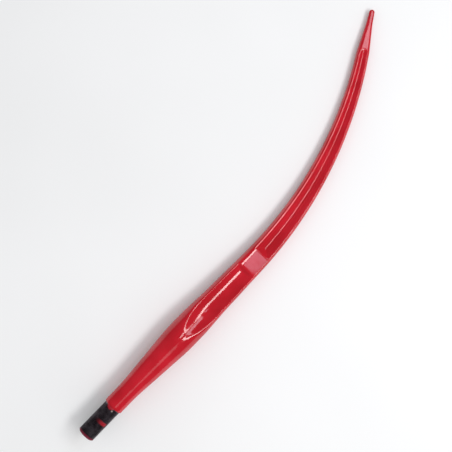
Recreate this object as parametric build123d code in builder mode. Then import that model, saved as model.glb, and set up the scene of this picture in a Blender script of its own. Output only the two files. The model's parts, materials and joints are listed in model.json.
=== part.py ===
"""Bale spear: a one-piece forged, bent tine with a threaded shank and hollowed faces.

It is drawn about the die's parting plane, the XY plane, with the shoulder behind the thread at the
origin, the thread axis along X and the bend towards +Y. Distances along the tine are measured from the
shoulder on its centreline. At the end it is laid on the floor the way it comes to rest on its side.
"""

import os
from math import atan2, cos, radians, sin, sqrt, tan

from build123d import *

# Threaded shank, M28 x 1.5, drawn at its major diameter
thread_diameter = 28.0
thread_length = 60.0
thread_chamfer = 2.0

# Seat: a plain neck, then a slow cone that wedges in the carrier's tapered bush
shoulder_height = 1.6
shoulder_chamfer = 0.8
neck_length = 35.0
cone_length = 105.0

# Belly, the fattest stretch, and the throat that leads into the blade
belly_diameter = 48.0
belly_length = 38.0
throat_length = 44.0
throat_diameter = 43.2
blend_radius = 200.0

# Blade: a straight stretch, the bend, and a straight end that runs out in the point
shank_length = 85.0
bend_radius = 650.0
bend_angle = 31.7
end_length = 82.0
end_diameter = 20.5

# Point, which starts to taper a little past the bend
point_start = 14.0
nose_length = 21.0
nose_diameter = 9.6
tip_diameter = 8.2
tip_flat_diameter = 0.4
point_blend = 90.0

# Flats that the two die halves leave on the faces, as half the thickness at three places
flat_ramp_angle = 13.8
flat_start_from_cone = 13.0
flat_at_pocket = 12.9
flat_at_groove_end = 6.9
flat_at_tip = 2.9
flat_blend = 70.0

# Pocket: a round-bottomed trough with a ramp at the belly and a sloping wall at the bridge
pocket_land = 1.2
pocket_ramp_angle = 22.3
pocket_floor = 6.4
pocket_side_land = 1.2
pocket_blend = 51.0
pocket_length = 131.0
pocket_wall_angle = 42.0
pocket_wall_bevel = 1.5

# Groove: a V with a round bottom that follows the bend
bridge_length = 40.0
groove_past_bend = 12.6
groove_land = 1.8
groove_slope = 30.0
groove_bottom_radius = 3.0
groove_start_slope = 34.0
groove_start_round = 1.5

# Softened edges: of the flats towards the round sides, and of the hollows' rims
flat_round = 1.0
rim_round = 0.8

# Rest on the floor: the belly and the outer edge of the lower flat touch it, with the weight between them
lying_roll = 3.82
lying_dip = 2.61

thread_radius = thread_diameter / 2
neck_radius = thread_radius + shoulder_height
belly_radius = belly_diameter / 2
throat_radius = throat_diameter / 2
end_radius = end_diameter / 2
nose_radius = nose_diameter / 2
tip_radius = tip_diameter / 2

belly_from = neck_length + cone_length
belly_to = belly_from + belly_length
throat_to = belly_to + throat_length
bend_from = throat_to + shank_length
bend_to = bend_from + bend_radius * radians(bend_angle)
tine_to = bend_to + end_length
overshoot = belly_diameter
clear = 3.0
touch = 0.01

with BuildLine() as centreline:
    straight = Line((0, 0), (bend_from, 0))
    bend = JernArc(straight @ 1, straight % 1, bend_radius, bend_angle)
    Line(bend @ 1, bend @ 1 + (bend % 1) * end_length)
path = centreline.wire()


def square_plane(distance):
    """Plane across the tine, with its X axis up, at a distance from the shoulder."""
    return Plane(path.location_at(distance, PositionMode.LENGTH, x_dir=(0, 0, 1)))


def blade_radius(distance):
    """Radius of the round blade, which tapers evenly from the throat to the end of the bend."""
    share = (distance - throat_to) / (bend_to - throat_to)
    return throat_radius + (end_radius - throat_radius) * share


# Side view: the flats of the two faces, with a ramp where they leave the belly and a break at the groove's end
flat_from = belly_from + flat_start_from_cone
flat_lean = tan(radians(flat_ramp_angle))
flat_foot = flat_from + (belly_radius - flat_at_pocket) / flat_lean
pocket_from = flat_from + pocket_land
pocket_to = pocket_from + pocket_length
groove_from = pocket_to + bridge_length
groove_to = bend_to + groove_past_bend
bend_end = square_plane(bend_to)
groove_start = square_plane(groove_from)
groove_end = square_plane(groove_to)
tip_end = square_plane(tine_to)


def flat_height(distance):
    """Half the thickness between the flats of the blade, at a distance from the shoulder."""
    share = (square_plane(distance).origin.X - flat_foot) / (groove_end.origin.X - flat_foot)
    return flat_at_pocket + (flat_at_groove_end - flat_at_pocket) * share


def flat_width(distance):
    """Half the width of the flats of the blade, at a distance from the shoulder."""
    return sqrt(blade_radius(distance) ** 2 - flat_height(distance) ** 2)


def groove_vertex_at(distance):
    """Height of the sharp bottom of a groove that leaves its land beside it, at a distance from the shoulder."""
    return flat_height(distance) - groove_lean * (flat_width(distance) - groove_land)


groove_lean = tan(radians(groove_slope))
groove_vertex = max(groove_vertex_at(groove_from), groove_vertex_at(groove_to))
groove_end_reach = (flat_at_groove_end - groove_vertex) / groove_lean
flat_break = square_plane(groove_to + groove_end_reach)
flat_at_break = flat_height(groove_to + groove_end_reach)
facet_run = tip_end.origin - flat_break.origin - Vector(0, 0, flat_at_break - flat_at_tip)
facet = Plane(
    flat_break.origin + Vector(0, 0, flat_at_break),
    x_dir=facet_run,
    z_dir=bend_end.y_dir.cross(facet_run),
)

with BuildPart() as flats:
    with BuildSketch(Plane.XZ):
        with BuildLine():
            Polyline(
                (-thread_length - clear, -belly_radius - clear),
                (-thread_length - clear, belly_radius + clear),
                (flat_from - clear / flat_lean, belly_radius + clear),
                (flat_foot, flat_at_pocket),
                (flat_break.origin.X, flat_at_break),
                (tip_end.origin.X + clear, flat_at_break),
                (tip_end.origin.X + clear, -belly_radius - clear),
                close=True,
            )
        make_face()
        fillet([v for v in vertices() if v.X == flat_foot], flat_blend)
    extrude(amount=tine_to, both=True)
    split(bisect_by=facet, keep=Keep.BOTTOM)


def shared_edges(found, first, second):
    """Edges that lie on the surfaces of both bodies, in order along the tine."""
    shells = (first.shell(), second.shell())
    shared = found.filter_by(lambda edge: all(shell.distance_to(edge @ 0.5) < touch for shell in shells))
    return shared.sort_by(Axis.Y).sort_by(Axis.X)


# Pocket: a round trough swept along its own axis, then closed by the wall at the bridge
pocket_depth = flat_height(pocket_to) - pocket_floor
pocket_width = flat_width(pocket_to) - pocket_side_land
pocket_radius = (pocket_width**2 + pocket_depth**2) / (2 * pocket_depth)
ramp_lean = radians(pocket_ramp_angle)
ramp_run = (belly_radius - pocket_floor) / tan(ramp_lean)
trough_height = pocket_floor + pocket_radius
trough_corner = pocket_from + ramp_run + pocket_radius * tan(ramp_lean / 2)
trough_reach = ramp_run + overshoot
wall_lean = radians(pocket_wall_angle)

with BuildPart() as pocket:
    with BuildLine(Plane.XZ) as trough_axis:
        FilletPolyline(
            (trough_corner - trough_reach, trough_height + trough_reach * tan(ramp_lean)),
            (trough_corner, trough_height),
            (pocket_to + 2 * overshoot, trough_height),
            radius=pocket_blend,
        )
    with BuildSketch(Plane(trough_axis.wire().location_at(0))):
        Circle(pocket_radius)
    sweep(path=trough_axis.wire())
    split(
        bisect_by=Plane(
            (pocket_to, 0, pocket_floor),
            x_dir=(0, 1, 0),
            z_dir=(-sin(wall_lean), 0, cos(wall_lean)),
        )
    )
    chamfer(faces().sort_by(Axis.X)[-1].edges(), pocket_wall_bevel)

# Groove: a V swept along the bend, closed by a sloping wall at the bridge and a round end at the point
groove_top = flat_at_pocket + clear
groove_half_width = (groove_top - groove_vertex) / groove_lean
start_lean = radians(groove_start_slope)
start_wall = Plane(
    groove_start.origin + groove_start.x_dir * flat_height(groove_from),
    x_dir=groove_start.y_dir,
    z_dir=groove_start.z_dir * sin(start_lean) + groove_start.x_dir * cos(start_lean),
)
sweep_from = groove_from - bridge_length / 2

with BuildSketch() as groove_section:
    with BuildLine():
        Polyline(
            (groove_top, -groove_half_width),
            (groove_vertex, 0),
            (groove_top, groove_half_width),
            close=True,
        )
    make_face()
    fillet(vertices().sort_by(Axis.X)[0], groove_bottom_radius)

with BuildPart() as groove:
    with BuildSketch(square_plane(sweep_from)):
        add(groove_section.sketch)
    sweep(path=path.trim(sweep_from / tine_to, groove_to / tine_to))
    split(bisect_by=start_wall)
    start_edges = faces().filter_by(start_wall)[0].edges()
    fillet(start_edges.filter_by(Plane.XY, reverse=True), groove_start_round)
    with BuildSketch(groove_end):
        add(groove_section.sketch)
        split(bisect_by=Plane.XZ)
    revolve(axis=Axis(groove_end.origin, groove_end.x_dir))

# Flats with both hollows and their rounded rims
with BuildPart() as hollowed_flats:
    add(flats.part)
    for hollow in (pocket.part, groove.part):
        add(hollow, mode=Mode.SUBTRACT)
        fillet(shared_edges(edges(Select.LAST), flats.part, hollow), rim_round)

# Round bar: turned from the thread to the bend, tapering round the bend, and drawn out to the point
nose_from = end_length - nose_length
point_radius = blade_radius(bend_to + point_start)
cone_lean = atan2(belly_radius - neck_radius, cone_length)
throat_lean = atan2(belly_radius - throat_radius, throat_length)
longest_blend = belly_length / (tan(cone_lean / 2) + tan(throat_lean / 2))

with BuildPart() as bar:
    with BuildSketch(Plane.XZ):
        with BuildLine():
            Polyline(
                (-thread_length, 0),
                (-thread_length, thread_radius - thread_chamfer),
                (thread_chamfer - thread_length, thread_radius),
                (0, thread_radius),
                (0, neck_radius),
                (neck_length, neck_radius),
                (belly_from, belly_radius),
                (belly_to, belly_radius),
                (throat_to, throat_radius),
                (bend_from, blade_radius(bend_from)),
                (bend_from, 0),
                close=True,
            )
        make_face()
        blends = [v for v in vertices() if neck_length <= v.X <= belly_to]
        fillet(blends, min(blend_radius, longest_blend - clear))
        chamfer(vertices().filter_by_position(Axis.X, 0, 0).sort_by(Axis.Y)[-1], shoulder_chamfer)
    revolve(axis=Axis.X)
    for station in (bend_from, bend_to):
        with BuildSketch(square_plane(station)):
            Circle(blade_radius(station))
    sweep(path=bend, multisection=True)
    with BuildSketch(Plane(bend_end.origin, x_dir=bend_end.z_dir, z_dir=-bend_end.y_dir)):
        with BuildLine():
            Polyline(
                (0, 0),
                (0, end_radius),
                (point_start, point_radius),
                (nose_from, nose_radius),
                (end_length, tip_radius),
                (end_length, 0),
                close=True,
            )
        make_face()
        fillet([v for v in vertices() if 0 < v.X < end_length], point_blend)
        fillet(vertices().group_by(Axis.X)[-1].sort_by(Axis.Y)[-1], tip_radius - tip_flat_diameter / 2)
    revolve(axis=Axis(bend_end.origin, bend_end.z_dir))

# Forging: the bar pressed between the flats, the same in both die halves
with BuildPart() as forging:
    add(bar.part)
    add(hollowed_flats.part, mode=Mode.INTERSECT)
    fillet(shared_edges(edges(), flats.part, bar.part), flat_round)
    split(bisect_by=Plane.XY)
    mirror(about=Plane.XY)

with BuildPart() as laid_down:
    add(forging.part, rotation=(lying_roll, lying_dip, 0))
floor_box = laid_down.part.bounding_box()

with BuildPart() as bale_spear:
    with Locations((-floor_box.center().X, -floor_box.center().Y, -floor_box.min.Z)):
        add(laid_down.part)
bale_spear.part.label = "bale_spear"

os.makedirs("parts", exist_ok=True)
export_step(bale_spear.part, "parts/bale_spear.step")
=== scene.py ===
"""Looks of the bale spear: the forged tine in red paint and its dark, oiled thread.

Both pieces are grown by Geometry Nodes from the sizes of the forging, in millimetres, in the tine's own
frame: the shoulder behind the thread at the origin, the thread axis along X, the bend towards +Y and the
parting plane of the forging at Z = 0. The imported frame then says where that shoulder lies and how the
tine rests on the floor.
"""

import functools
import json
import logging
import math
from dataclasses import dataclass, fields
from enum import Enum
from typing import Any, ClassVar, Union

import bpy
from mathutils import Euler, Matrix, Vector


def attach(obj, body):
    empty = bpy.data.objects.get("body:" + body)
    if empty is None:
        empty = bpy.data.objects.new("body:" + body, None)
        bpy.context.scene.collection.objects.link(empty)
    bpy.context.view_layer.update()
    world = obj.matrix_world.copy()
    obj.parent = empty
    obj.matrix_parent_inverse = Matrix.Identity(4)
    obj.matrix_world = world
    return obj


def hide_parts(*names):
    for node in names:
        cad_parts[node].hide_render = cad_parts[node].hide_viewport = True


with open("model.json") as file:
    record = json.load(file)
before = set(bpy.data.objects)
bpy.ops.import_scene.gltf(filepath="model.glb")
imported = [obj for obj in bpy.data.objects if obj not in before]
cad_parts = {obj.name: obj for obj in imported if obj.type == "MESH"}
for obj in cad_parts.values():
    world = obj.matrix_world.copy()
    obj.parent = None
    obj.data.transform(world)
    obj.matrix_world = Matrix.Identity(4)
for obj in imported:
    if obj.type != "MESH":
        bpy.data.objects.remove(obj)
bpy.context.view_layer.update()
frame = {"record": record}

MM = 0.001
log = logging.getLogger("bale_spear")

Colour = tuple[float, float, float, float]
Range = tuple[float, float]
Number = Union["Value", float]


class Slot(Enum):
    """Material slots of the record."""

    RED_PAINT = "red_paint"
    BLACK_THREAD = "black_thread"


class Body(Enum):
    """Bodies of the frame."""

    ROOT = "root"


class Part(Enum):
    """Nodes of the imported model."""

    FORGING = "bale_spear"


class Value:
    """A number in a node tree, on which Python's operators add Math nodes."""

    def __init__(self, nodes: "NodeBuilder", socket: bpy.types.NodeSocket) -> None:
        """Keep the socket that carries the number and the builder of its tree."""
        self.nodes = nodes
        self.socket = socket

    def _math(self, operation: str, *others: Number) -> "Value":
        """Add a Math node on this number.

        Args:
            operation: name of the Math node's operation.
            others: its further operands.

        Returns:
            The result.
        """
        return self.nodes.math(operation, self, *others)

    def __add__(self, other: Number) -> "Value":
        """Sum."""
        return self._math("ADD", other)

    __radd__ = __add__

    def __sub__(self, other: Number) -> "Value":
        """Difference."""
        return self._math("SUBTRACT", other)

    def __rsub__(self, other: float) -> "Value":
        """Difference with a plain number on the left."""
        return self.nodes.math("SUBTRACT", other, self)

    def __mul__(self, other: Number) -> "Value":
        """Product."""
        return self._math("MULTIPLY", other)

    __rmul__ = __mul__

    def __truediv__(self, other: Number) -> "Value":
        """Quotient."""
        return self._math("DIVIDE", other)

    def __rtruediv__(self, other: float) -> "Value":
        """Quotient with a plain number on the left."""
        return self.nodes.math("DIVIDE", other, self)

    def __neg__(self) -> "Value":
        """Opposite."""
        return self._math("MULTIPLY", -1.0)

    def __abs__(self) -> "Value":
        """Absolute value."""
        return self._math("ABSOLUTE")

    def squared(self) -> "Value":
        """Square."""
        return self._math("MULTIPLY", self)

    def root(self) -> "Value":
        """Square root."""
        return self._math("SQRT")

    def sine(self) -> "Value":
        """Sine of an angle in radians."""
        return self._math("SINE")

    def cosine(self) -> "Value":
        """Cosine of an angle in radians."""
        return self._math("COSINE")

    def tangent(self) -> "Value":
        """Tangent of an angle in radians."""
        return self._math("TANGENT")

    def sign(self) -> "Value":
        """Sign: -1, 0 or 1."""
        return self._math("SIGN")

    def fraction(self) -> "Value":
        """What is left above the next lower whole number."""
        return self._math("FRACT")

    def least(self, other: Number) -> "Value":
        """Smaller of two numbers."""
        return self._math("MINIMUM", other)

    def most(self, other: Number) -> "Value":
        """Larger of two numbers."""
        return self._math("MAXIMUM", other)

    def soft_least(self, other: Number, softness: Number) -> "Value":
        """Smaller of two numbers, rounded over where they cross."""
        return self._math("SMOOTH_MIN", other, softness)

    def soft_most(self, other: Number, softness: Number) -> "Value":
        """Larger of two numbers, rounded over where they cross."""
        return self._math("SMOOTH_MAX", other, softness)

    def held(self) -> "Value":
        """The number, held between 0 and 1."""
        return self.most(0.0).least(1.0)

    def step(self, low: float, high: float) -> "Value":
        """Smooth step from 0 to 1.

        Args:
            low: number up to which it is 0.
            high: number from which it is 1.

        Returns:
            The step.
        """
        node = self.nodes.add(
            "ShaderNodeMapRange",
            {"interpolation_type": "SMOOTHSTEP"},
            {"Value": self, "From Min": low, "From Max": high},
        )
        return Value(self.nodes, node.outputs[0])


class NodeBuilder:
    """Adds nodes to one tree."""

    def __init__(self, tree: bpy.types.NodeTree) -> None:
        """Keep the tree."""
        self.tree = tree

    def add(
        self,
        kind: str,
        settings: dict[str, Any] | None = None,
        inputs: dict[str | int, Any] | None = None,
    ) -> bpy.types.Node:
        """Add a node.

        Args:
            kind: type of the node.
            settings: its properties, which are set first.
            inputs: values or links of its sockets, by name or number.

        Returns:
            The node.
        """
        node = self.tree.nodes.new(kind)
        for name, value in (settings or {}).items():
            setattr(node, name, value)
        self.feed_all(node, inputs or {})
        return node

    def feed_all(self, node: bpy.types.Node, inputs: dict[str | int, Any]) -> None:
        """Feed several sockets of a node.

        Args:
            node: the node.
            inputs: values or links of its sockets, by name or number.
        """
        for key, value in inputs.items():
            self.feed(node.inputs[key], value)

    def feed(self, socket: bpy.types.NodeSocket, value: Any) -> None:
        """Link a socket to a value or another socket, or set it to a constant.

        Args:
            socket: input to feed.
            value: what feeds it.
        """
        if isinstance(value, Value):
            value = value.socket
        if isinstance(value, bpy.types.NodeSocket):
            self.tree.links.new(value, socket)
        else:
            socket.default_value = value

    def math(self, operation: str, *operands: Number) -> Value:
        """Add a Math node.

        Args:
            operation: name of its operation.
            operands: its values.

        Returns:
            The result.
        """
        node = self.add("ShaderNodeMath", {"operation": operation}, dict(enumerate(operands)))
        return Value(self, node.outputs[0])

    def split(self, vector: bpy.types.NodeSocket) -> tuple[Value, Value, Value]:
        """Take a vector apart.

        Args:
            vector: socket of the vector.

        Returns:
            Its three numbers.
        """
        node = self.add("ShaderNodeSeparateXYZ", inputs={0: vector})
        return Value(self, node.outputs[0]), Value(self, node.outputs[1]), Value(self, node.outputs[2])

    def joined(self, x: Number, y: Number, z: Number) -> bpy.types.NodeSocket:
        """Put a vector together.

        Args:
            x: first number.
            y: second number.
            z: third number.

        Returns:
            Socket of the vector.
        """
        return self.add("ShaderNodeCombineXYZ", inputs={0: x, 1: y, 2: z}).outputs[0]

    def noise(self, vector: bpy.types.NodeSocket, scale: float, detail: float = 2.0) -> Value:
        """Add a noise pattern.

        Args:
            vector: place on the surface.
            scale: grains per unit of that vector.
            detail: octaves of finer noise.

        Returns:
            The pattern, about 0.5 on average.
        """
        node = self.add("ShaderNodeTexNoise", inputs={"Vector": vector, "Scale": scale, "Detail": detail})
        return Value(self, node.outputs[0])

    def mixed(self, first: Any, second: Any, share: Number) -> bpy.types.NodeSocket:
        """Mix two colours.

        Args:
            first: colour at a share of 0.
            second: colour at a share of 1.
            share: how much of the second.

        Returns:
            Socket of the colour.
        """
        node = self.add("ShaderNodeMix", {"data_type": "RGBA"}, {0: share, 6: first, 7: second})
        return node.outputs[2]

    def bump(self, height: Value, distance: float, under: Any = None) -> bpy.types.NodeSocket:
        """Turn a height into a normal.

        Args:
            height: pattern from 0 to 1.
            distance: height of the pattern in metres.
            under: normal of a coarser bump, if there is one.

        Returns:
            Socket of the normal.
        """
        inputs = {"Height": height, "Distance": distance}
        if under is not None:
            inputs["Normal"] = under
        return self.add("ShaderNodeBump", inputs=inputs).outputs[0]


@dataclass(frozen=True)
class Lie:
    """Where the tine's shoulder lies and how the tine is turned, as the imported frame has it."""

    shoulder: Vector
    turn: Matrix

    @classmethod
    def from_record(cls, record: dict[str, Any]) -> "Lie":
        """Read the lie off the thread's mount, whose axis points out of the tine.

        Args:
            record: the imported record.

        Returns:
            The lie.
        """
        mount = next(item for item in record["mounts"] if item["name"] == "thread")
        axis = Vector(mount["axis"]).normalized()
        dip = math.asin(math.hypot(axis.y, axis.z))
        roll = math.atan2(-axis.y, axis.z)
        turn = Matrix.Rotation(roll, 3, "X") @ Matrix.Rotation(dip, 3, "Y")
        half_length = mount["dims"]["length_mm"] * MM / 2
        return cls(Vector(mount["pos_m"]) - axis * half_length, turn)

    def own_frame(self, nodes: NodeBuilder) -> bpy.types.NodeSocket:
        """Add the mapping from the shared frame back to the tine's own millimetres.

        Args:
            nodes: builder of a material's tree.

        Returns:
            Socket of the place.
        """
        back = self.turn.transposed()
        node = nodes.add(
            "ShaderNodeMapping",
            inputs={
                "Vector": nodes.add("ShaderNodeTexCoord").outputs["Object"],
                "Location": -(back @ self.shoulder) / MM,
                "Rotation": back.to_euler("XYZ"),
                "Scale": (1 / MM, 1 / MM, 1 / MM),
            },
        )
        return node.outputs[0]


def placed(name: str, data: bpy.types.ID) -> bpy.types.Object:
    """Add an object to the scene.

    Args:
        name: its name.
        data: its mesh, lamp or camera.

    Returns:
        The object, at the origin.
    """
    made = bpy.data.objects.new(name, data)
    bpy.context.scene.collection.objects.link(made)
    return made


class ShapeTree:
    """A Geometry Nodes tree that has one named input for each size of a sub-assembly."""

    # Rows that close the poles, millimetres under which points merge, degrees past which an edge is sharp.
    pole_rows: ClassVar[int] = 2
    weld: ClassVar[float] = 0.002
    sharp_angle: ClassVar[float] = 50.0

    def __init__(self, name: str, sizes: Any) -> None:
        """Start the tree.

        Args:
            name: name of the tree and of the piece that it makes.
            sizes: dataclass of the sizes, in millimetres and degrees.
        """
        self.name = name
        self.tree = bpy.data.node_groups.new(name, "GeometryNodeTree")
        self.nodes = NodeBuilder(self.tree)
        self.numbers: dict[str, float] = {}
        for item in fields(sizes):
            label = item.name.replace("_", " ")
            socket = self.tree.interface.new_socket(label, in_out="INPUT", socket_type="NodeSocketFloat")
            self.numbers[socket.identifier] = getattr(sizes, item.name)
        self.tree.interface.new_socket("Piece", in_out="OUTPUT", socket_type="NodeSocketGeometry")
        self.inputs = self.nodes.add("NodeGroupInput")

    def size(self, name: str) -> Value:
        """Input of a size."""
        return Value(self.nodes, self.inputs.outputs[name.replace("_", " ")])

    def angle(self, name: str) -> Value:
        """Input of an angle, turned from degrees into radians."""
        return self.size(name) * math.radians(1.0)

    def grid(self, rows: int, columns: int) -> tuple[bpy.types.NodeSocket, Value, Value, Value]:
        """Add a sheet that is to be wrapped round an axis and drawn together at its poles.

        Args:
            rows: stretches along the axis, without those of the poles.
            columns: stretches round it.

        Returns:
            The sheet, the row of a point as a number, its turn as a share of 1, and a number that is 0 at
            the poles and 1 between them.
        """
        whole = rows + self.pole_rows
        sheet = self.nodes.add(
            "GeometryNodeMeshGrid",
            inputs={"Size X": 1.0, "Size Y": 1.0, "Vertices X": whole + 1, "Vertices Y": columns + 1},
        )
        across, round_axis, _ = self.nodes.split(self.nodes.add("GeometryNodeInputPosition").outputs[0])
        row = (across + 0.5) * whole
        pole = row.least(1.0) * (whole - row).least(1.0)
        return sheet.outputs[0], row, round_axis + 0.5, pole

    def close(
        self,
        sheet: bpy.types.NodeSocket,
        place: bpy.types.NodeSocket,
        lie: Lie,
        material: bpy.types.Material,
    ) -> None:
        """Wrap the sheet, weld its seam and poles, lay it down and give it its finish.

        Args:
            sheet: the sheet.
            place: new place of each point, in the tine's own frame.
            lie: where the tine lies.
            material: its finish.
        """
        add = self.nodes.add
        moved = add("GeometryNodeSetPosition", inputs={"Geometry": sheet, "Position": place})
        welded = add(
            "GeometryNodeMergeByDistance",
            inputs={"Geometry": moved.outputs[0], "Distance": self.weld},
        )
        smooth = add("GeometryNodeSetShadeSmooth", inputs={"Geometry": welded.outputs[0]})
        laid = add(
            "GeometryNodeTransform",
            inputs={
                "Geometry": smooth.outputs[0],
                "Translation": lie.shoulder,
                "Rotation": lie.turn.to_euler("XYZ"),
                "Scale": (MM, MM, MM),
            },
        )
        whole = add("GeometryNodeRealizeInstances", inputs={"Geometry": laid.outputs[0]})
        dressed = add("GeometryNodeSetMaterial", inputs={"Geometry": whole.outputs[0], "Material": material})
        add("NodeGroupOutput", inputs={0: dressed.outputs[0]})

    def piece(self) -> bpy.types.Object:
        """Evaluate the tree once and keep the result as a plain mesh.

        Returns:
            The piece, at the origin.
        """
        host = placed(f"{self.name}_host", bpy.data.meshes.new(f"{self.name}_host"))
        modifier = host.modifiers.new(self.name, "NODES")
        modifier.node_group = self.tree
        for identifier, number in self.numbers.items():
            modifier[identifier] = number
        evaluated = host.evaluated_get(bpy.context.evaluated_depsgraph_get())
        mesh = bpy.data.meshes.new_from_object(evaluated)
        bpy.data.objects.remove(host)
        mesh.name = self.name
        mesh.set_sharp_from_angle(angle=math.radians(self.sharp_angle))
        return placed(self.name, mesh)


def install(piece: bpy.types.Object) -> None:
    """Tell the frame what a finished piece is.

    Args:
        piece: the piece.
    """
    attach(piece, Body.ROOT.value)
    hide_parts(Part.FORGING.value)
    log.info("%s: %d faces", piece.name, len(piece.data.polygons))


def blank_material(name: str) -> tuple[bpy.types.Material, NodeBuilder, bpy.types.Node]:
    """Start a material.

    Args:
        name: its name.

    Returns:
        The material, the builder of its tree and its shader.
    """
    made = bpy.data.materials.new(name)
    made.use_nodes = True
    return made, NodeBuilder(made.node_tree), made.node_tree.nodes["Principled BSDF"]


@dataclass(frozen=True)
class RedPaint:
    """Glossy red paint with orange peel, sprayed over forged steel.

    Scales are in grains per millimetre and heights in metres.
    """

    deep: Colour = (0.47, 0.0050, 0.0140, 1.0)
    fresh: Colour = (0.57, 0.0070, 0.0200, 1.0)
    cloud_scale: float = 0.03
    cloud_steps: Range = (0.3, 0.7)
    rough_steps: Range = (0.35, 0.75)
    smooth: float = 0.26
    rough: float = 0.36
    shine: float = 0.0
    thin_coat: float = 0.52
    full_coat: float = 0.64
    coat_ior: float = 2.0
    coat_roughness: float = 0.11
    forged_scale: float = 0.11
    forged_height: float = 0.00006
    peel_scale: float = 0.33
    peel_height: float = 0.0002
    grain_scale: float = 1.6
    grain_height: float = 0.00001

    def material(self, lie: Lie) -> bpy.types.Material:
        """Build the paint.

        Args:
            lie: where the tine lies, so that the pattern follows its own frame.

        Returns:
            The material.
        """
        made, nodes, shader = blank_material(Slot.RED_PAINT.value)
        place = lie.own_frame(nodes)
        cloud = nodes.noise(place, self.cloud_scale)
        full = cloud.step(*self.cloud_steps)
        coarse = nodes.bump(nodes.noise(place, self.forged_scale), self.forged_height)
        middle = nodes.bump(nodes.noise(place, self.peel_scale), self.peel_height, coarse)
        fine = nodes.bump(nodes.noise(place, self.grain_scale, detail=0.0), self.grain_height, middle)
        nodes.feed_all(
            shader,
            {
                "Base Color": nodes.mixed(self.deep, self.fresh, full),
                "Roughness": self.smooth + (self.rough - self.smooth) * cloud.step(*self.rough_steps),
                "Normal": fine,
                "Specular IOR Level": self.shine,
                "Coat Weight": self.thin_coat + (self.full_coat - self.thin_coat) * full,
                "Coat IOR": self.coat_ior,
                "Coat Roughness": self.coat_roughness,
            },
        )
        return made


@dataclass(frozen=True)
class BlackThread:
    """Dark oiled steel thread with the paint that crept over its ends.

    Places are in the tine's own millimetres. A range has the two numbers between which a patch fades. The
    bright bare-steel spot near the shoulder is partly a painted glint, and the paint band's fade towards +Y
    is painted shade.
    """

    steel: Colour = (0.020, 0.012, 0.017, 1.0)
    worn: Colour = (0.15, 0.13, 0.15, 1.0)
    # Colour of a small bright bare-steel spot near the shoulder, which is partly a painted glint.
    bare: Colour = (0.62, 0.58, 0.54, 1.0)
    paint: Colour = (0.42, 0.0075, 0.022, 1.0)
    stain: Colour = (0.21, 0.010, 0.036, 1.0)
    metal: float = 0.55
    roughness: float = 0.44
    polish: float = 0.10
    grain_scale: float = 1.1
    grain_height: float = 0.00003
    octaves: float = 3.0
    ragged_scale: float = 0.25
    rub_scale: float = 0.12
    rub_steps: Range = (0.3, 0.7)
    crest_edge: Range = (13.25, 13.9)
    top_edge: Range = (-2.0, 2.0)
    end_edge: Range = (3.4, 5.0)
    end_ragged: float = 2.0
    creep: float = 4.7
    creep_at: float = 3.5
    creep_half: float = 7.0
    creep_edge: Range = (-0.6, 0.6)
    creep_ragged: float = 2.8
    band_at: float = -27.7
    band_edge: Range = (2.0, 3.6)
    band_ragged: float = 2.4
    band_starts: Range = (-12.5, -10.5)
    # Side over which the paint band fades out towards +Y, away from the lamps: painted shade.
    band_painted_shade: Range = (-7.0, 9.0)
    glint_spot_at: tuple[float, float] = (-4.3, -2.5)
    glint_spot_edge: Range = (0.9, 1.9)

    def material(self, lie: Lie, length: float) -> bpy.types.Material:
        """Build the finish.

        Args:
            lie: where the tine lies.
            length: length of the thread in millimetres.

        Returns:
            The material.
        """
        made, nodes, shader = blank_material(Slot.BLACK_THREAD.value)
        place = lie.own_frame(nodes)
        along, side, height = nodes.split(place)
        ragged = nodes.noise(place, self.ragged_scale, self.octaves) - 0.5
        top = height.step(*self.top_edge)
        end = 1.0 - (along + length + ragged * self.end_ragged).step(*self.end_edge)
        reach = (1.0 - ((side - self.creep_at) / self.creep_half).squared()).most(0.0) * self.creep
        collar = (along + reach + ragged * self.creep_ragged).step(*self.creep_edge) * top
        band = 1.0 - abs(along - self.band_at + ragged * self.band_ragged).step(*self.band_edge)
        # Towards +Y, the side turned from the lamps, the band fades out: painted shade.
        band = band * top * (1.0 - side.step(*self.band_painted_shade)) * side.step(*self.band_starts)
        crest = (side.squared() + height.squared()).root().step(*self.crest_edge)
        rubbed = nodes.noise(place, self.rub_scale, self.octaves).step(*self.rub_steps) * crest
        # A small bright spot of metallic bare steel near the shoulder: partly bare steel, partly a painted
        # glint.
        off_glint_spot = ((along - self.glint_spot_at[0]).squared() + (side - self.glint_spot_at[1]).squared()).root()
        glint_spot = (1.0 - off_glint_spot.step(*self.glint_spot_edge)) * top
        painted = collar.most(band)
        colour = nodes.mixed(self.steel, self.worn, rubbed)
        for layer, share in ((self.stain, end), (self.paint, painted), (self.bare, glint_spot)):
            colour = nodes.mixed(colour, layer, share)
        nodes.feed_all(
            shader,
            {
                "Base Color": colour,
                "Metallic": (self.metal - painted.most(end) * self.metal).most(glint_spot),
                "Roughness": self.roughness - rubbed * self.polish,
                "Normal": nodes.bump(nodes.noise(place, self.grain_scale), self.grain_height),
            },
        )
        return made


@dataclass(frozen=True)
class PaleFloor:
    """Plain pale floor with a faint cloud in its colour."""

    light: Colour = (0.915, 0.922, 0.925, 1.0)
    dull: Colour = (0.880, 0.887, 0.888, 1.0)
    roughness: float = 0.75
    cloud_scale: float = 2.2
    cloud_steps: Range = (0.3, 0.7)

    def material(self) -> bpy.types.Material:
        """Build the finish of the floor.

        Returns:
            The material.
        """
        made, nodes, shader = blank_material("pale_floor")
        place = nodes.add("ShaderNodeTexCoord").outputs["Object"]
        cloud = nodes.noise(place, self.cloud_scale).step(*self.cloud_steps)
        nodes.feed_all(
            shader,
            {"Base Color": nodes.mixed(self.dull, self.light, cloud), "Roughness": self.roughness},
        )
        return made


@dataclass(frozen=True)
class Crease:
    """A low ridge along the tine that the dies left in its face."""

    start: float
    end: float
    line: float
    half_width: float
    height: float
    fade: float = 4.0


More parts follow.
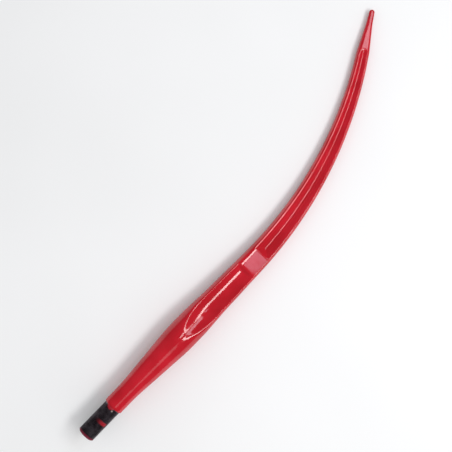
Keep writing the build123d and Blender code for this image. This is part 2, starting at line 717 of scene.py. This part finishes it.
@dataclass(frozen=True)
class Run:
    """A stretch of the tine that is cut into rows, up to a place along the centreline."""

    rows: int
    end: Value


@dataclass(frozen=True)
class Stations:
    """Places along the tine's centreline, from the shoulder."""

    belly_from: Value
    throat_to: Value
    bend_from: Value
    bend_to: Value
    tine_to: Value
    flat_foot: Value
    pocket_from: Value
    pocket_to: Value
    groove_from: Value
    groove_to: Value


@dataclass
class Tine:
    """The forging from its shoulder to its point: a bent, tapered bar with flats and hollows in its faces.

    Sizes are in millimetres and degrees. The flats are given as half the thickness between them.
    """

    thread_diameter: float = 28.0
    shoulder_height: float = 1.6
    shoulder_chamfer: float = 0.8
    neck_length: float = 35.0
    cone_length: float = 105.0
    belly_diameter: float = 48.0
    belly_length: float = 38.0
    throat_length: float = 44.0
    throat_diameter: float = 43.2
    blend_radius: float = 200.0
    shank_length: float = 85.0
    bend_radius: float = 650.0
    bend_angle: float = 31.7
    end_length: float = 82.0
    end_diameter: float = 20.5
    point_start: float = 14.0
    nose_length: float = 21.0
    nose_diameter: float = 9.6
    tip_diameter: float = 8.2
    tip_round: float = 3.9
    point_blend: float = 90.0
    flat_ramp_angle: float = 13.8
    flat_start_from_cone: float = 13.0
    flat_at_pocket: float = 12.9
    flat_at_groove_end: float = 6.9
    flat_at_tip: float = 2.9
    flat_blend: float = 70.0
    pocket_land: float = 1.2
    pocket_ramp_angle: float = 22.3
    pocket_floor: float = 6.4
    pocket_side_land: float = 1.2
    pocket_blend: float = 51.0
    pocket_length: float = 131.0
    pocket_wall_angle: float = 42.0
    pocket_wall_round: float = 5.0
    bridge_length: float = 40.0
    groove_past_bend: float = 12.6
    groove_land: float = 1.8
    groove_slope: float = 30.0
    groove_bottom_radius: float = 5.5
    groove_start_slope: float = 34.0
    groove_start_round: float = 1.5
    rim_softness: float = 2.2
    edge_softness: float = 2.9
    facet_softness: float = 0.5
    unevenness: float = 0.12
    creases: ClassVar[tuple[Crease, ...]] = (
        Crease(start=143.0, end=157.0, line=3.6, half_width=1.9, height=0.70),
        Crease(start=134.0, end=157.0, line=-1.8, half_width=2.0, height=0.32),
        Crease(start=287.0, end=327.0, line=12.2, half_width=2.6, height=0.52),
    )

    # An arc's softness, the mesh's columns, the reach of its dense rows and the grain of the dents.
    arc_softness: ClassVar[float] = 0.75
    columns: ClassVar[int] = 224
    dense_before_throat_end: ClassVar[float] = 7.0
    dense_before_wall: ClassVar[float] = 10.0
    dense_past_groove_start: ClassVar[float] = 20.0
    dense_before_groove_end: ClassVar[float] = 19.0
    dense_past_groove_end: ClassVar[float] = 21.0
    dent_scale: ClassVar[float] = 0.035
    dent_girth: ClassVar[float] = 20.0

    def build(self, finish: RedPaint, lie: Lie) -> bpy.types.Object:
        """Grow the tine and dress it.

        Args:
            finish: its paint.
            lie: where it lies.

        Returns:
            The piece.
        """
        tree = ShapeTree("tine", self)
        at = self._stations(tree)
        runs = self._runs(tree, at)
        sheet, row, turn, pole = tree.grid(sum(run.rows for run in runs), self.columns)
        along = self._along(row, runs)
        swing = (turn - 0.5) * math.tau
        dents = self._dents(tree, along, swing)
        radius = (self._radius(tree, at, along) + dents) * pole
        side = radius * swing.sine()
        x, y = self._bent(tree, at, along, side)
        round_height = radius * abs(swing.cosine())
        face = self._flat_height(tree, at, along, x)
        for hollow in (self._pocket(tree, at, x, side), self._groove(tree, at, along, side)):
            face = face.soft_least(hollow, tree.size("rim_softness"))
        height = round_height.soft_least(face + dents, tree.size("edge_softness") * pole)
        upper = swing.cosine().sign()
        height = height.most(0.0) * upper + self._creases(along, side) * upper.most(0.0)
        tree.close(sheet, tree.nodes.joined(x, y, height), lie, finish.material(lie))
        return tree.piece()

    def _stations(self, tree: ShapeTree) -> Stations:
        """Work out the places along the tine from its sizes.

        Args:
            tree: tree of the sizes.

        Returns:
            The places.
        """
        size = tree.size
        belly_from = size("neck_length") + size("cone_length")
        throat_to = belly_from + size("belly_length") + size("throat_length")
        bend_from = throat_to + size("shank_length")
        bend_to = bend_from + size("bend_radius") * tree.angle("bend_angle")
        flat_from = belly_from + size("flat_start_from_cone")
        drop = size("belly_diameter") / 2 - size("flat_at_pocket")
        pocket_from = flat_from + size("pocket_land")
        pocket_to = pocket_from + size("pocket_length")
        return Stations(
            belly_from=belly_from,
            throat_to=throat_to,
            bend_from=bend_from,
            bend_to=bend_to,
            tine_to=bend_to + size("end_length"),
            flat_foot=flat_from + drop / tree.angle("flat_ramp_angle").tangent(),
            pocket_from=pocket_from,
            pocket_to=pocket_to,
            groove_from=pocket_to + size("bridge_length"),
            groove_to=bend_to + size("groove_past_bend"),
        )

    def _runs(self, tree: ShapeTree, at: Stations) -> list[Run]:
        """Share the rows out along the tine, more of them where its form changes fast.

        Args:
            tree: tree of the sizes.
            at: places along the tine.

        Returns:
            The runs in order. The last one rounds the tip.
        """
        return [
            Run(rows=4, end=tree.size("shoulder_chamfer")),
            Run(rows=40, end=at.belly_from),
            Run(rows=75, end=at.throat_to - self.dense_before_throat_end),
            Run(rows=24, end=at.pocket_to - self.dense_before_wall),
            Run(rows=78, end=at.groove_from + self.dense_past_groove_start),
            Run(rows=90, end=at.groove_to - self.dense_before_groove_end),
            Run(rows=44, end=at.groove_to + self.dense_past_groove_end),
            Run(rows=24, end=at.tine_to - tree.size("tip_round")),
            Run(rows=16, end=at.tine_to),
        ]

    def _along(self, row: Value, runs: list[Run]) -> Value:
        """Place of a row along the centreline.

        Args:
            row: number of the row, counted from the first pole, which takes one row.
            runs: the runs of rows.

        Returns:
            Distance from the shoulder.
        """
        done = 1
        start: Number = 0.0
        place: Number = 0.0
        for run in runs:
            share = ((row - done) / run.rows).held()
            if run is runs[-1]:
                share = (share * (math.pi / 2)).sine()
            place = share * (run.end - start) + place
            done += run.rows
            start = run.end
        return place

    def _dents(self, tree: ShapeTree, along: Value, swing: Value) -> Value:
        """Slight unevenness of a hammered surface.

        Args:
            tree: tree of the sizes.
            along: distance from the shoulder.
            swing: angle round the centreline.

        Returns:
            Height of the surface above or below its smooth form.
        """
        girth = self.dent_girth
        place = tree.nodes.joined(along, swing.sine() * girth, swing.cosine() * girth)
        return (tree.nodes.noise(place, self.dent_scale) - 0.5) * 2.0 * tree.size("unevenness")

    def _blade_lean(self, tree: ShapeTree, at: Stations) -> Value:
        """Taper of the round bar along the blade."""
        taper = (tree.size("end_diameter") - tree.size("throat_diameter")) / 2
        return taper / (at.bend_to - at.throat_to)

    def _blade_radius(self, tree: ShapeTree, at: Stations, place: Value) -> Value:
        """Radius of the round bar at a place along the blade."""
        return tree.size("throat_diameter") / 2 + (place - at.throat_to) * self._blade_lean(tree, at)

    def _radius(self, tree: ShapeTree, at: Stations, along: Value) -> Value:
        """Radius of the round bar along the tine.

        Args:
            tree: tree of the sizes.
            at: places along the tine.
            along: distance from the shoulder.

        Returns:
            The radius.
        """
        size = tree.size
        neck = size("thread_diameter") / 2 + size("shoulder_height")
        belly = size("belly_diameter") / 2
        throat = size("throat_diameter") / 2
        nose = size("nose_diameter") / 2
        tip = size("tip_diameter") / 2
        point_from = at.bend_to + size("point_start")
        nose_from = at.tine_to - size("nose_length")
        cone_lean = (belly - neck) / size("cone_length")
        throat_lean = (throat - belly) / size("throat_length")
        point_lean = (nose - self._blade_radius(tree, at, point_from)) / (nose_from - point_from)
        nose_lean = (tip - nose) / size("nose_length")
        cone_line = neck + (along - size("neck_length")) * cone_lean
        throat_line = throat + (along - at.throat_to) * throat_lean
        blade_line = self._blade_radius(tree, at, along)
        point_line = nose + (along - nose_from) * point_lean
        nose_line = nose + (along - nose_from) * nose_lean
        cone_blend = self._blend(size("blend_radius"), cone_lean)
        swell = neck.soft_most(cone_line, cone_blend).soft_least(belly, cone_blend)
        swell = swell.soft_least(throat_line.most(blade_line), self._blend(size("blend_radius"), throat_lean))
        taper = point_line.soft_most(nose_line, self._blend(size("point_blend"), nose_lean - point_lean))
        point_bend = self._blade_lean(tree, at) - point_lean
        whole = swell.soft_least(taper, self._blend(size("point_blend"), point_bend))
        tip_round = size("tip_round")
        into_tip = (along - at.tine_to + tip_round).most(0.0)
        rounding = tip_round - (tip_round.squared() - into_tip.squared()).most(0.0).root()
        return whole - rounding - (size("shoulder_chamfer") - along).most(0.0)

    def _blend(self, radius: Value, lean: Value) -> Value:
        """Softness that stands for an arc between two lines.

        Args:
            radius: radius of the arc.
            lean: difference of the lines' slopes.

        Returns:
            Softness for soft_least or soft_most, which dip a sixth of it at the corner, as the arc does.
        """
        return radius * lean.squared() * self.arc_softness

    def _bent(self, tree: ShapeTree, at: Stations, along: Value, side: Number = 0.0) -> tuple[Value, Value]:
        """Place of a point beside the centreline, round the bend.

        Args:
            tree: tree of the sizes.
            at: places along the tine.
            along: distance of the point's section from the shoulder.
            side: distance of the point from the centreline.

        Returns:
            The point's X and Y.
        """
        radius = tree.size("bend_radius")
        bent = ((along - at.bend_from) / radius).most(0.0).least(tree.angle("bend_angle"))
        past = (along - at.bend_to).most(0.0)
        x = along.least(at.bend_from) + (radius - side) * bent.sine() + past * bent.cosine()
        y = radius - (radius - side) * bent.cosine() + past * bent.sine()
        return x, y

    def _blade_flat(self, tree: ShapeTree, at: Stations, x: Value) -> Value:
        """Half the thickness between the blade's flats.

        Args:
            tree: tree of the sizes.
            at: places along the tine.
            x: place along X.

        Returns:
            Height of the flat above the parting plane.
        """
        size = tree.size
        groove_end, _ = self._bent(tree, at, at.groove_to)
        lean = (size("flat_at_groove_end") - size("flat_at_pocket")) / (groove_end - at.flat_foot)
        return size("flat_at_pocket") + (x - at.flat_foot) * lean

    def _flat_height(self, tree: ShapeTree, at: Stations, along: Value, x: Value) -> Value:
        """Half the thickness between the flats, with the ramp at the belly and the facet at the point.

        Args:
            tree: tree of the sizes.
            at: places along the tine.
            along: distance from the shoulder.
            x: place along X.

        Returns:
            Height of the face above the parting plane, without its hollows.
        """
        size = tree.size
        ramp_lean = tree.angle("flat_ramp_angle").tangent()
        ramp = size("flat_at_pocket") + (at.flat_foot - x) * ramp_lean
        blade = self._blade_flat(tree, at, x)
        flat = ramp.soft_most(blade, self._blend(size("flat_blend"), ramp_lean))
        break_at = at.groove_to + self._groove_reach(tree, at)
        break_x, _ = self._bent(tree, at, break_at)
        break_height = self._blade_flat(tree, at, break_x)
        lean = (size("flat_at_tip") - break_height) / (at.tine_to - break_at)
        return flat.soft_least(break_height + (along - break_at) * lean, size("facet_softness"))

    def _half_width(self, tree: ShapeTree, at: Stations, place: Value, flat: Value) -> Value:
        """Half the width of the blade's flat, which lies at a given height on the round bar."""
        return (self._blade_radius(tree, at, place).squared() - flat.squared()).root()

    def _pocket(self, tree: ShapeTree, at: Stations, x: Value, side: Value) -> Value:
        """Form of the pocket: a round-bottomed trough with a ramp and a sloping end wall.

        Args:
            tree: tree of the sizes.
            at: places along the tine.
            x: place along X.
            side: distance from the centreline.

        Returns:
            Height of the pocket above the parting plane.
        """
        size = tree.size
        floor = size("pocket_floor")
        flat = self._blade_flat(tree, at, at.pocket_to)
        depth = flat - floor
        width = self._half_width(tree, at, at.pocket_to, flat) - size("pocket_side_land")
        radius = (width.squared() + depth.squared()) / (depth * 2.0)
        lean = tree.angle("pocket_ramp_angle")
        run = (size("belly_diameter") / 2 - floor) / lean.tangent()
        corner = at.pocket_from + run + radius * (lean / 2).tangent()
        drop = (radius.squared() - side.squared()).most(0.0).root()
        trough = floor + radius - drop
        ramp = floor + radius + (corner - x) * lean.tangent() - drop / lean.cosine()
        hollow = trough.soft_most(ramp, self._blend(size("pocket_blend") + radius, lean.tangent()))
        wall_lean = tree.angle("pocket_wall_angle").tangent()
        wall = floor + (x - at.pocket_to) * wall_lean
        return hollow.soft_most(wall, self._blend(size("pocket_wall_round"), wall_lean))

    def _groove_vertex(self, tree: ShapeTree, at: Stations) -> Value:
        """Place the sharp bottom of the groove so that it leaves its land beside it at both ends.

        Args:
            tree: tree of the sizes.
            at: places along the tine.

        Returns:
            Height of that bottom above the parting plane.
        """
        lean = tree.angle("groove_slope").tangent()
        bottoms = []
        for place in (at.groove_from, at.groove_to):
            x, _ = self._bent(tree, at, place)
            flat = self._blade_flat(tree, at, x)
            width = self._half_width(tree, at, place, flat) - tree.size("groove_land")
            bottoms.append(flat - lean * width)
        return functools.reduce(Value.most, bottoms)

    def _groove_reach(self, tree: ShapeTree, at: Stations) -> Value:
        """Radius of the groove's round end where it meets the flat."""
        depth = tree.size("flat_at_groove_end") - self._groove_vertex(tree, at)
        return depth / tree.angle("groove_slope").tangent()

    def _groove(self, tree: ShapeTree, at: Stations, along: Value, side: Value) -> Value:
        """Form of the groove: a V with a round bottom, a sloping start and a round end.

        Args:
            tree: tree of the sizes.
            at: places along the tine.
            along: distance from the shoulder.
            side: distance from the centreline.

        Returns:
            Height of the groove above the parting plane.
        """
        size = tree.size
        slope = tree.angle("groove_slope")
        past = (along - at.groove_to).most(0.0)
        off = (past.squared() + side.squared()).root() * slope.tangent()
        bottom = size("groove_bottom_radius") * (1.0 / slope.cosine() - 1.0)
        vee = self._groove_vertex(tree, at) + (off.squared() + bottom.squared()).root()
        start_x, _ = self._bent(tree, at, at.groove_from)
        start_lean = tree.angle("groove_start_slope").tangent()
        start = self._blade_flat(tree, at, start_x) - (along - at.groove_from) * start_lean
        return vee.soft_most(start, self._blend(size("groove_start_round"), start_lean))

    def _creases(self, along: Value, side: Value) -> Value:
        """Form of the creases that the dies left in the upper face.

        Args:
            along: distance from the shoulder.
            side: distance from the centreline.

        Returns:
            Height of the creases above the face.
        """
        ridges = []
        for crease in self.creases:
            ends = along.step(crease.start, crease.start + crease.fade)
            ends = ends * (1.0 - along.step(crease.end - crease.fade, crease.end))
            slope = (1.0 - abs(side - crease.line) / crease.half_width).held()
            ridges.append(slope * ends * crease.height)
        return functools.reduce(Value.most, ridges)


@dataclass
class ThreadedShank:
    """The fine thread behind the shoulder, a true helix with a chamfer and a run-out.

    Sizes are in millimetres. The flats at the thread's root and crest are shares of the pitch.
    """

    diameter: float = 28.0
    length: float = 60.0
    chamfer: float = 2.0
    pitch: float = 1.5
    depth: float = 0.92
    root_flat: float = 0.25
    crest_flat: float = 0.125
    run_out: float = 4.0
    seat: float = 2.0

    # Mesh of the helix: rows for each turn, turns that lead in before the end, spare turns, and columns.
    rows_per_turn: ClassVar[int] = 8
    lead_in: ClassVar[float] = 1.5
    spare_turns: ClassVar[int] = 2
    columns: ClassVar[int] = 96

    def build(self, finish: BlackThread, lie: Lie) -> bpy.types.Object:
        """Grow the thread and dress it.

        Args:
            finish: its finish.
            lie: where the tine lies.

        Returns:
            The piece.
        """
        turns = math.ceil((self.length + self.seat) / self.pitch) + self.spare_turns
        tree = ShapeTree("threaded_shank", self)
        size = tree.size
        sheet, row, turn, pole = tree.grid(turns * self.rows_per_turn - tree.pole_rows, self.columns)
        wound = row / self.rows_per_turn
        helix = (wound - self.lead_in + turn) * size("pitch") - size("length")
        x = helix.most(-size("length")).least(size("seat"))
        wave = abs(wound.fraction() - 0.5) * 2.0
        crest = ((wave - size("root_flat")) / (1.0 - size("root_flat") - size("crest_flat"))).held()
        shallow = (-x / size("run_out")).held()
        cut = size("depth") * (1.0 - crest) * shallow
        cone = size("diameter") / 2 - size("chamfer") + x + size("length")
        radius = (size("diameter") / 2 - cut).least(cone) * pole
        swing = turn * math.tau
        place = tree.nodes.joined(x, radius * swing.sine(), radius * swing.cosine())
        tree.close(sheet, place, lie, finish.material(lie, self.length))
        return tree.piece()


@dataclass(frozen=True)
class SoftLamp:
    """A soft rectangular lamp.

    Its bearing and height are in degrees, seen from where it aims, and its lengths in metres.
    """

    name: str
    bearing: float
    height: float
    width: float
    length: float
    radiance: float
    distance: float = 2.4
    colour: tuple[float, float, float] = (1.0, 1.0, 1.0)

    def hang(self, aim: Vector) -> None:
        """Hang the lamp.

        Args:
            aim: point that it faces.
        """
        data = bpy.data.lights.new(self.name, "AREA")
        data.shape = "RECTANGLE"
        data.size = self.width
        data.size_y = self.length
        data.color = self.colour
        data.energy = self.radiance * math.pi * self.width * self.length
        bearing, height = math.radians(self.bearing), math.radians(self.height)
        level = math.cos(height)
        away = Vector((level * math.cos(bearing), level * math.sin(bearing), math.sin(height)))
        lamp = placed(self.name, data)
        lamp.location = aim + away * self.distance
        lamp.rotation_euler = away.to_track_quat("Z", "Y").to_euler()
        lamp.visible_camera = False


@dataclass(frozen=True)
class Studio:
    """Plain pale floor, soft lamps and the camera that looks straight down on the tine."""

    lamps: tuple[SoftLamp, ...] = (
        SoftLamp("side_lamp", bearing=-73.5, height=56.9, width=1.05, length=0.55, radiance=9.0),
        SoftLamp("end_lamp", bearing=-38.0, height=51.5, width=0.75, length=0.5, radiance=7.5),
        SoftLamp(
            "far_lamp",
            bearing=-2.0,
            height=54.0,
            width=0.7,
            length=0.7,
            radiance=3.4,
            colour=(0.90, 0.90, 1.0),
        ),
        SoftLamp(
            "top_lamp",
            bearing=-50.4,
            height=74.6,
            width=0.36,
            length=0.36,
            radiance=2.8,
            colour=(0.90, 0.82, 1.0),
        ),
        SoftLamp("back_lamp", bearing=-125.5, height=58.4, width=0.5, length=0.7, radiance=0.8),
    )
    aim: tuple[float, float, float] = (0.0, 0.0, 0.0)
    floor_size: float = 8.0
    floor_finish: PaleFloor = PaleFloor()
    white: Colour = (1.0, 1.0, 1.0, 1.0)
    sky: float = 0.605
    ceiling: float = 0.12
    backdrop: float = 0.86
    eye: tuple[float, float, float] = (-0.0112, 0.0092, 1.32)
    eye_turn: float = -45.61
    lens: float = 67.15
    sensor: float = 36.0

    def set_up(self) -> None:
        """Lay the floor, hang the lamps and place the camera."""
        self._floor()
        self._sky()
        for lamp in self.lamps:
            lamp.hang(Vector(self.aim))
        self._camera()
        bpy.context.scene.view_settings.view_transform = "Standard"

    def _floor(self) -> None:
        """Lay the floor."""
        half = self.floor_size / 2
        mesh = bpy.data.meshes.new("floor")
        corners = [(-half, -half, 0.0), (half, -half, 0.0), (half, half, 0.0), (-half, half, 0.0)]
        mesh.from_pydata(corners, [], [(0, 1, 2, 3)])
        mesh.materials.append(self.floor_finish.material())
        floor = placed("floor", mesh)

    def _sky(self) -> None:
        """Fill the room with even light, with a dim ceiling in reflections and a pale backdrop in view."""
        world = bpy.data.worlds.new("room")
        world.use_nodes = True
        bpy.context.scene.world = world
        nodes = NodeBuilder(world.node_tree)
        path = nodes.add("ShaderNodeLightPath")
        seen = Value(nodes, path.outputs["Is Camera Ray"])
        through = Value(nodes, path.outputs["Is Transmission Ray"])
        mirrored = Value(nodes, path.outputs["Is Glossy Ray"])
        ahead = seen.most(through) * (self.backdrop - self.sky)
        above = mirrored * (self.ceiling - self.sky)
        background = world.node_tree.nodes["Background"]
        nodes.feed_all(background, {"Color": self.white, "Strength": self.sky + ahead + above})

    def _camera(self) -> None:
        """Place the camera."""
        data = bpy.data.cameras.new("camera")
        data.lens = self.lens
        data.sensor_width = self.sensor
        camera = placed("camera", data)
        camera.location = self.eye
        camera.rotation_euler = Euler((0.0, 0.0, math.radians(self.eye_turn)))
        bpy.context.scene.camera = camera


def main() -> None:
    """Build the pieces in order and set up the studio."""
    logging.basicConfig(level=logging.INFO, format="%(name)s: %(message)s")
    lie = Lie.from_record(frame["record"])
    install(Tine().build(RedPaint(), lie))
    install(ThreadedShank().build(BlackThread(), lie))
    Studio().set_up()


if __name__ == "__main__":
    main()
